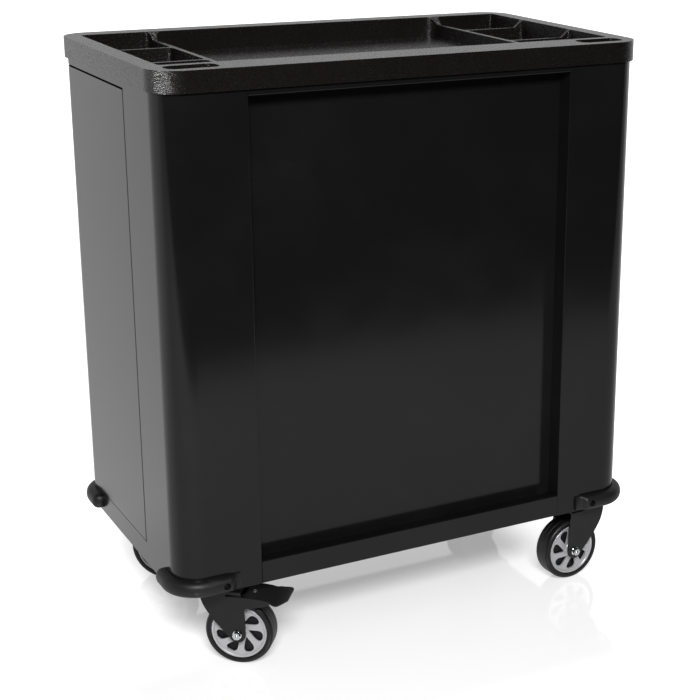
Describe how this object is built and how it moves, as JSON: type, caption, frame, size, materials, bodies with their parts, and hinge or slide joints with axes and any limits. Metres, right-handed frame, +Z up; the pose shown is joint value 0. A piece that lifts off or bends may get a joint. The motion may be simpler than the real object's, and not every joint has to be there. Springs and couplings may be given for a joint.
{
  "type": "rolling tool cabinet",
  "caption": "Upright sheet-steel cabinet on swivel casters, with a moulded tray top, a stack of drawers, a hinged side door and a recessed back.",
  "frame": {"origin": "on the floor, under the middle of the overall box", "axes": "+Z up; the drawers face -Y, the recessed back faces +Y, and the side door is at +X"},
  "size_m": [0.778, 0.4749, 0.872],
  "materials": {
    "black_steel": "gloss black powder coat",
    "grey_steel": "satin grey powder coat",
    "zinc": "zinc plated",
    "tray_plastic": "coarse grained",
    "bumper_rubber": "satin",
    "pull": "brushed and anodised",
    "fork_steel": "satin black",
    "hub_silver": "silver",
    "tyre": "plain tread",
    "chrome": "bright",
    "pedal_plastic": "satin"
  },
  "bodies": {
    "cabinet": {"shell_left": "black_steel", "shell_right": "black_steel", "rear_panel": "black_steel", "rear_top_rail": "black_steel", "rear_bottom_rail": "black_steel", "front_top_rail": "black_steel", "front_bottom_rail": "black_steel", "base_pan": "black_steel", "bulkhead": "black_steel", "drawer_liner": "grey_steel", "runner_rack_left": "zinc", "runner_rack_right": "zinc", "bay_shelf": "grey_steel", "top_tray": "tray_plastic", "bumper_rear_right": "bumper_rubber", "bumper_rear_left": "bumper_rubber", "bumper_front_right": "bumper_rubber", "bumper_front_left": "bumper_rubber", "lock_bezel": "chrome", "hinge_bracket_top": "zinc", "hinge_bracket_bottom": "zinc", "caster_rear_right_plate": "fork_steel", "caster_rear_left_plate": "fork_steel", "caster_front_right_plate": "fork_steel", "caster_front_left_plate": "fork_steel"},
    "lock": {"lock_barrel": "chrome"},
    "door": {"door_skin": "black_steel", "door_liner": "grey_steel"},
    "drawer_1": {"drawer_1": "black_steel", "drawer_1_pull": "pull"},
    "drawer_2": {"drawer_2": "black_steel", "drawer_2_pull": "pull"},
    "drawer_3": {"drawer_3": "black_steel", "drawer_3_pull": "pull"},
    "drawer_4": {"drawer_4": "black_steel", "drawer_4_pull": "pull"},
    "drawer_5": {"drawer_5": "black_steel", "drawer_5_pull": "pull"},
    "drawer_6": {"drawer_6": "black_steel", "drawer_6_pull": "pull"},
    "drawer_7": {"drawer_7": "black_steel", "drawer_7_pull": "pull"},
    "swivel_rear_right": {"caster_rear_right_fork": "fork_steel", "caster_rear_right_axle": "chrome"},
    "wheel_rear_right": {"caster_rear_right_hub": "hub_silver", "caster_rear_right_tyre": "tyre"},
    "pedal_rear_right": {"caster_rear_right_pedal": "pedal_plastic"},
    "swivel_rear_left": {"caster_rear_left_fork": "fork_steel", "caster_rear_left_axle": "chrome"},
    "wheel_rear_left": {"caster_rear_left_hub": "hub_silver", "caster_rear_left_tyre": "tyre"},
    "swivel_front_right": {"caster_front_right_fork": "fork_steel", "caster_front_right_axle": "chrome"},
    "wheel_front_right": {"caster_front_right_hub": "hub_silver", "caster_front_right_tyre": "tyre"},
    "pedal_front_right": {"caster_front_right_pedal": "pedal_plastic"},
    "swivel_front_left": {"caster_front_left_fork": "fork_steel", "caster_front_left_axle": "chrome"},
    "wheel_front_left": {"caster_front_left_hub": "hub_silver", "caster_front_left_tyre": "tyre"}
  },
  "joints": [
    {"name": "lock_turn", "type": "hinge", "parent": "cabinet", "child": "lock", "pos_m": [-0.3175, -0.2233, 0.804], "axis": [0, -1, 0], "range_deg": [0, 90]},
    {"name": "door_hinge", "type": "hinge", "parent": "cabinet", "child": "door", "pos_m": [0.372, 0.0623, 0.497], "axis": [0, 0, 1], "range_deg": [0, 105]},
    {"name": "drawer_1_slide", "type": "slide", "parent": "cabinet", "child": "drawer_1", "axis": [0, -1, 0], "range_m": [0, 0.33]},
    {"name": "drawer_2_slide", "type": "slide", "parent": "cabinet", "child": "drawer_2", "axis": [0, -1, 0], "range_m": [0, 0.33]},
    {"name": "drawer_3_slide", "type": "slide", "parent": "cabinet", "child": "drawer_3", "axis": [0, -1, 0], "range_m": [0, 0.33]},
    {"name": "drawer_4_slide", "type": "slide", "parent": "cabinet", "child": "drawer_4", "axis": [0, -1, 0], "range_m": [0, 0.33]},
    {"name": "drawer_5_slide", "type": "slide", "parent": "cabinet", "child": "drawer_5", "axis": [0, -1, 0], "range_m": [0, 0.33]},
    {"name": "drawer_6_slide", "type": "slide", "parent": "cabinet", "child": "drawer_6", "axis": [0, -1, 0], "range_m": [0, 0.33]},
    {"name": "drawer_7_slide", "type": "slide", "parent": "cabinet", "child": "drawer_7", "axis": [0, -1, 0], "range_m": [0, 0.33]},
    {"name": "swivel_rear_right_turn", "type": "hinge", "parent": "cabinet", "child": "swivel_rear_right", "pos_m": [0.296, 0.159, 0.12], "axis": [0, 0, 1], "continuous": true},
    {"name": "wheel_rear_right_spin", "type": "hinge", "parent": "swivel_rear_right", "child": "wheel_rear_right", "pos_m": [0.27394, 0.17624, 0.0508], "axis": [-0.6157, -0.788, 0], "continuous": true},
    {"name": "pedal_rear_right_press", "type": "hinge", "parent": "swivel_rear_right", "child": "pedal_rear_right", "pos_m": [0.26606, 0.1824, 0.1105], "axis": [-0.6157, -0.788, 0], "range_deg": [0, 14]},
    {"name": "swivel_rear_left_turn", "type": "hinge", "parent": "cabinet", "child": "swivel_rear_left", "pos_m": [-0.326, 0.165, 0.12], "axis": [0, 0, 1], "continuous": true},
    {"name": "wheel_rear_left_spin", "type": "hinge", "parent": "swivel_rear_left", "child": "wheel_rear_left", "pos_m": [-0.29804, 0.16647, 0.0508], "axis": [-0.0523, 0.9986, 0], "continuous": true},
    {"name": "swivel_front_right_turn", "type": "hinge", "parent": "cabinet", "child": "swivel_front_right", "pos_m": [0.3, -0.163, 0.12], "axis": [0, 0, 1], "continuous": true},
    {"name": "wheel_front_right_spin", "type": "hinge", "parent": "swivel_front_right", "child": "wheel_front_right", "pos_m": [0.27966, -0.14376, 0.0508], "axis": [-0.6871, -0.7266, 0], "continuous": true},
    {"name": "pedal_front_right_press", "type": "hinge", "parent": "swivel_front_right", "child": "pedal_front_right", "pos_m": [0.27239, -0.13689, 0.1105], "axis": [-0.6871, -0.7266, 0], "range_deg": [0, 14]},
    {"name": "swivel_front_left_turn", "type": "hinge", "parent": "cabinet", "child": "swivel_front_left", "pos_m": [-0.326, -0.16, 0.12], "axis": [0, 0, 1], "continuous": true},
    {"name": "wheel_front_left_spin", "type": "hinge", "parent": "swivel_front_left", "child": "wheel_front_left", "pos_m": [-0.29969, -0.15042, 0.0508], "axis": [-0.342, 0.9397, 0], "continuous": true}
  ]
}
